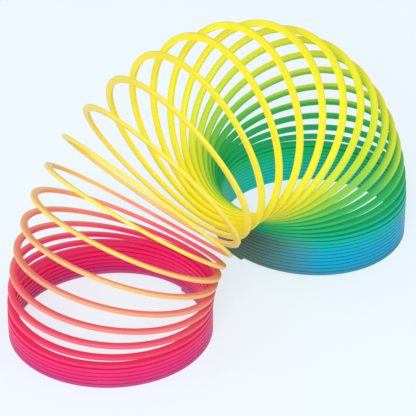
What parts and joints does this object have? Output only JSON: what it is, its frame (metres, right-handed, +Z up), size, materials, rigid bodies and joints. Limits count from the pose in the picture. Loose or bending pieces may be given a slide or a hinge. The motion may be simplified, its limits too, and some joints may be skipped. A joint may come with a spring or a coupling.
{
  "type": "spring coil toy",
  "caption": "Flat plastic strip coiled into a rainbow spring that stands as an arch between two closed stacks; folds shut and walks.",
  "frame": {"origin": "on the table, midway between the two stacks", "axes": "+Z up, +X from the near stack towards the far stack, +Y across the arch"},
  "size_m": [0.1786, 0.075, 0.1002],
  "materials": {
    "near_turn_01": "gloss",
    "near_turn_02": "gloss",
    "near_turn_03": "gloss",
    "near_turn_04": "gloss",
    "near_turn_05": "gloss",
    "arch_turn_01": "gloss",
    "arch_turn_02": "gloss",
    "arch_turn_03": "gloss",
    "arch_turn_04": "gloss",
    "arch_turn_05": "gloss",
    "arch_turn_06": "gloss",
    "arch_turn_07": "gloss",
    "arch_turn_08": "gloss",
    "arch_turn_09": "gloss",
    "arch_turn_10": "gloss",
    "arch_turn_11": "gloss",
    "arch_turn_12": "gloss",
    "arch_turn_13": "gloss",
    "arch_turn_14": "gloss",
    "arch_turn_15": "gloss",
    "arch_turn_16": "gloss",
    "arch_turn_17": "gloss",
    "arch_turn_18": "gloss",
    "arch_turn_19": "gloss",
    "arch_turn_20": "gloss",
    "arch_turn_21": "gloss",
    "arch_turn_22": "gloss",
    "arch_turn_23": "gloss",
    "arch_turn_24": "gloss",
    "arch_turn_25": "gloss",
    "arch_turn_26": "gloss",
    "far_turn_01": "gloss",
    "far_turn_02": "gloss",
    "far_turn_03": "gloss",
    "far_turn_04": "gloss",
    "far_turn_05": "gloss",
    "far_turn_06": "gloss",
    "far_turn_07": "gloss",
    "far_turn_08": "gloss",
    "far_turn_09": "gloss"
  },
  "bodies": {
    "near_stack": {"near_turn_01": "near_turn_01", "near_turn_02": "near_turn_02", "near_turn_03": "near_turn_03", "near_turn_04": "near_turn_04", "near_turn_05": "near_turn_05", "arch_turn_01": "arch_turn_01"},
    "arch_turn_02": {"arch_turn_02": "arch_turn_02"},
    "arch_turn_03": {"arch_turn_03": "arch_turn_03"},
    "arch_turn_04": {"arch_turn_04": "arch_turn_04"},
    "arch_turn_05": {"arch_turn_05": "arch_turn_05"},
    "arch_turn_06": {"arch_turn_06": "arch_turn_06"},
    "arch_turn_07": {"arch_turn_07": "arch_turn_07"},
    "arch_turn_08": {"arch_turn_08": "arch_turn_08"},
    "arch_turn_09": {"arch_turn_09": "arch_turn_09"},
    "arch_turn_10": {"arch_turn_10": "arch_turn_10"},
    "arch_turn_11": {"arch_turn_11": "arch_turn_11"},
    "arch_turn_12": {"arch_turn_12": "arch_turn_12"},
    "arch_turn_13": {"arch_turn_13": "arch_turn_13"},
    "arch_turn_14": {"arch_turn_14": "arch_turn_14"},
    "arch_turn_15": {"arch_turn_15": "arch_turn_15"},
    "arch_turn_16": {"arch_turn_16": "arch_turn_16"},
    "arch_turn_17": {"arch_turn_17": "arch_turn_17"},
    "arch_turn_18": {"arch_turn_18": "arch_turn_18"},
    "arch_turn_19": {"arch_turn_19": "arch_turn_19"},
    "arch_turn_20": {"arch_turn_20": "arch_turn_20"},
    "arch_turn_21": {"arch_turn_21": "arch_turn_21"},
    "arch_turn_22": {"arch_turn_22": "arch_turn_22"},
    "arch_turn_23": {"arch_turn_23": "arch_turn_23"},
    "arch_turn_24": {"arch_turn_24": "arch_turn_24"},
    "far_stack": {"arch_turn_25": "arch_turn_25", "arch_turn_26": "arch_turn_26", "far_turn_01": "far_turn_01", "far_turn_02": "far_turn_02", "far_turn_03": "far_turn_03", "far_turn_04": "far_turn_04", "far_turn_05": "far_turn_05", "far_turn_06": "far_turn_06", "far_turn_07": "far_turn_07", "far_turn_08": "far_turn_08", "far_turn_09": "far_turn_09"}
  },
  "joints": [
    {"name": "fold_06", "type": "hinge", "parent": "near_stack", "child": "arch_turn_02", "pos_m": [-0.01551, 0, 0.0095], "axis": [0, 1, 0], "range_deg": [-1.71, 0]},
    {"name": "fold_07", "type": "hinge", "parent": "arch_turn_02", "child": "arch_turn_03", "pos_m": [-0.01535, 0, 0.011], "axis": [0, 1, 0], "range_deg": [-3.1, 0]},
    {"name": "fold_08", "type": "hinge", "parent": "arch_turn_03", "child": "arch_turn_04", "pos_m": [-0.01506, 0, 0.01251], "axis": [0, 1, 0], "range_deg": [-4.48, 0]},
    {"name": "fold_09", "type": "hinge", "parent": "arch_turn_04", "child": "arch_turn_05", "pos_m": [-0.0146, 0, 0.014], "axis": [0, 1, 0], "range_deg": [-5.92, 0]},
    {"name": "fold_10", "type": "hinge", "parent": "arch_turn_05", "child": "arch_turn_06", "pos_m": [-0.0139, 0, 0.01554], "axis": [0, 1, 0], "range_deg": [-7.09, 0]},
    {"name": "fold_11", "type": "hinge", "parent": "arch_turn_06", "child": "arch_turn_07", "pos_m": [-0.01288, 0, 0.0172], "axis": [0, 1, 0], "range_deg": [-7.94, 0]},
    {"name": "fold_12", "type": "hinge", "parent": "arch_turn_07", "child": "arch_turn_08", "pos_m": [-0.0115, 0, 0.01898], "axis": [0, 1, 0], "range_deg": [-8.8, 0]},
    {"name": "fold_13", "type": "hinge", "parent": "arch_turn_08", "child": "arch_turn_09", "pos_m": [-0.00979, 0, 0.02085], "axis": [0, 1, 0], "range_deg": [-9.62, 0]},
    {"name": "fold_14", "type": "hinge", "parent": "arch_turn_09", "child": "arch_turn_10", "pos_m": [-0.00775, 0, 0.02266], "axis": [0, 1, 0], "range_deg": [-10.34, 0]},
    {"name": "fold_15", "type": "hinge", "parent": "arch_turn_10", "child": "arch_turn_11", "pos_m": [-0.00545, 0, 0.02423], "axis": [0, 1, 0], "range_deg": [-10.94, 0]},
    {"name": "fold_16", "type": "hinge", "parent": "arch_turn_11", "child": "arch_turn_12", "pos_m": [-0.00306, 0, 0.02545], "axis": [0, 1, 0], "range_deg": [-11.43, 0]},
    {"name": "fold_17", "type": "hinge", "parent": "arch_turn_12", "child": "arch_turn_13", "pos_m": [-0.00072, 0, 0.02627], "axis": [0, 1, 0], "range_deg": [-11.83, 0]},
    {"name": "fold_18", "type": "hinge", "parent": "arch_turn_13", "child": "arch_turn_14", "pos_m": [0.00145, 0, 0.02673], "axis": [0, 1, 0], "range_deg": [-12.22, 0]},
    {"name": "fold_19", "type": "hinge", "parent": "arch_turn_14", "child": "arch_turn_15", "pos_m": [0.00342, 0, 0.02684], "axis": [0, 1, 0], "range_deg": [-12, 0]},
    {"name": "fold_20", "type": "hinge", "parent": "arch_turn_15", "child": "arch_turn_16", "pos_m": [0.00522, 0, 0.02668], "axis": [0, 1, 0], "range_deg": [-10.98, 0]},
    {"name": "fold_21", "type": "hinge", "parent": "arch_turn_16", "child": "arch_turn_17", "pos_m": [0.00692, 0, 0.02625], "axis": [0, 1, 0], "range_deg": [-10.04, 0]},
    {"name": "fold_22", "type": "hinge", "parent": "arch_turn_17", "child": "arch_turn_18", "pos_m": [0.00855, 0, 0.02558], "axis": [0, 1, 0], "range_deg": [-9.09, 0]},
    {"name": "fold_23", "type": "hinge", "parent": "arch_turn_18", "child": "arch_turn_19", "pos_m": [0.01008, 0, 0.02471], "axis": [0, 1, 0], "range_deg": [-8.15, 0]},
    {"name": "fold_24", "type": "hinge", "parent": "arch_turn_19", "child": "arch_turn_20", "pos_m": [0.01151, 0, 0.02367], "axis": [0, 1, 0], "range_deg": [-7.17, 0]},
    {"name": "fold_25", "type": "hinge", "parent": "arch_turn_20", "child": "arch_turn_21", "pos_m": [0.01278, 0, 0.02247], "axis": [0, 1, 0], "range_deg": [-6.1, 0]},
    {"name": "fold_26", "type": "hinge", "parent": "arch_turn_21", "child": "arch_turn_22", "pos_m": [0.01378, 0, 0.02113], "axis": [0, 1, 0], "range_deg": [-5, 0]},
    {"name": "fold_27", "type": "hinge", "parent": "arch_turn_22", "child": "arch_turn_23", "pos_m": [0.01453, 0, 0.01971], "axis": [0, 1, 0], "range_deg": [-3.88, 0]},
    {"name": "fold_28", "type": "hinge", "parent": "arch_turn_23", "child": "arch_turn_24", "pos_m": [0.01506, 0, 0.01823], "axis": [0, 1, 0], "range_deg": [-2.76, 0]},
    {"name": "fold_29", "type": "hinge", "parent": "arch_turn_24", "child": "far_stack", "pos_m": [0.01539, 0, 0.01674], "axis": [0, 1, 0], "range_deg": [-1.64, 0]}
  ],
  "couplings": [
    {"joint": "fold_06", "follows": "fold_17", "ratio": 0.14347},
    {"joint": "fold_07", "follows": "fold_17", "ratio": 0.2614},
    {"joint": "fold_08", "follows": "fold_17", "ratio": 0.37831},
    {"joint": "fold_09", "follows": "fold_17", "ratio": 0.50015},
    {"joint": "fold_10", "follows": "fold_17", "ratio": 0.5983},
    {"joint": "fold_11", "follows": "fold_17", "ratio": 0.67031},
    {"joint": "fold_12", "follows": "fold_17", "ratio": 0.7436},
    {"joint": "fold_13", "follows": "fold_17", "ratio": 0.81289},
    {"joint": "fold_14", "follows": "fold_17", "ratio": 0.87374},
    {"joint": "fold_15", "follows": "fold_17", "ratio": 0.92435},
    {"joint": "fold_16", "follows": "fold_17", "ratio": 0.96535},
    {"joint": "fold_19", "follows": "fold_18", "ratio": 0.9814},
    {"joint": "fold_20", "follows": "fold_18", "ratio": 0.89783},
    {"joint": "fold_21", "follows": "fold_18", "ratio": 0.82048},
    {"joint": "fold_22", "follows": "fold_18", "ratio": 0.74328},
    {"joint": "fold_23", "follows": "fold_18", "ratio": 0.66613},
    {"joint": "fold_24", "follows": "fold_18", "ratio": 0.58574},
    {"joint": "fold_25", "follows": "fold_18", "ratio": 0.49853},
    {"joint": "fold_26", "follows": "fold_18", "ratio": 0.40819},
    {"joint": "fold_27", "follows": "fold_18", "ratio": 0.31693},
    {"joint": "fold_28", "follows": "fold_18", "ratio": 0.22513},
    {"joint": "fold_29", "follows": "fold_18", "ratio": 0.13298}
  ]
}
